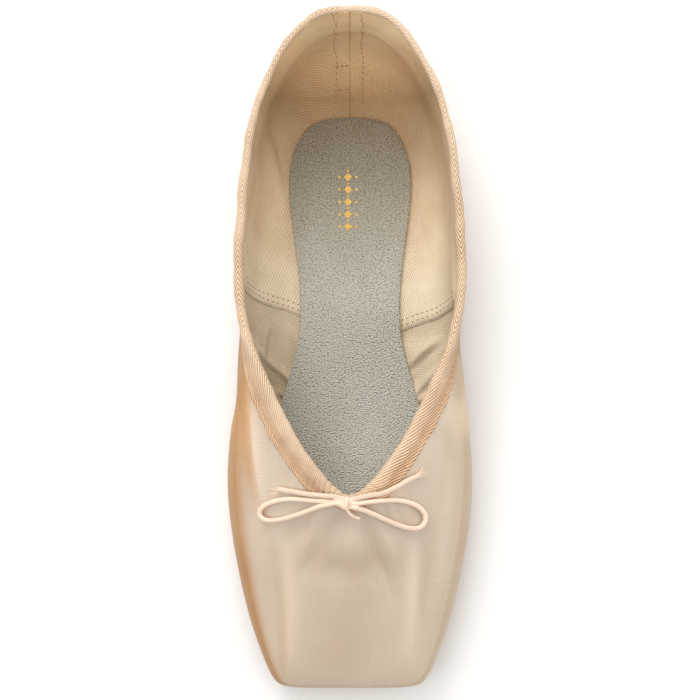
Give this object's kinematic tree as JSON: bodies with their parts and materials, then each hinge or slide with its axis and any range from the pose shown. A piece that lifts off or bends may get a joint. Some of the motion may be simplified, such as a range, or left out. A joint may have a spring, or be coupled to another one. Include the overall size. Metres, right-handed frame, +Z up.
{
  "type": "pointe shoe",
  "caption": "Satin pointe shoe with a stiff box and flat platform, soft quarters, a leather outsole, a suede insole and a drawstring bow at the throat.",
  "frame": {"origin": "on the floor under the middle of the shoe's bounding box", "axes": "+Z up, +Y towards the heel, the toe points along -Y, +X to the right seen from above with the toe nearest"},
  "size_m": [0.0858, 0.236, 0.0595],
  "materials": {
    "satin": "satin",
    "leather": "smooth",
    "suede": "matt suede",
    "twill": "matt",
    "cord": "matt"
  },
  "bodies": {
    "root": {"upper": "satin", "outsole": "leather", "insole": "suede", "casing": "twill", "drawstring_knot": "cord", "drawstring_loop_left": "cord", "drawstring_loop_right": "cord", "drawstring_end_left": "cord", "drawstring_end_right": "cord"}
  },
  "joints": []
}
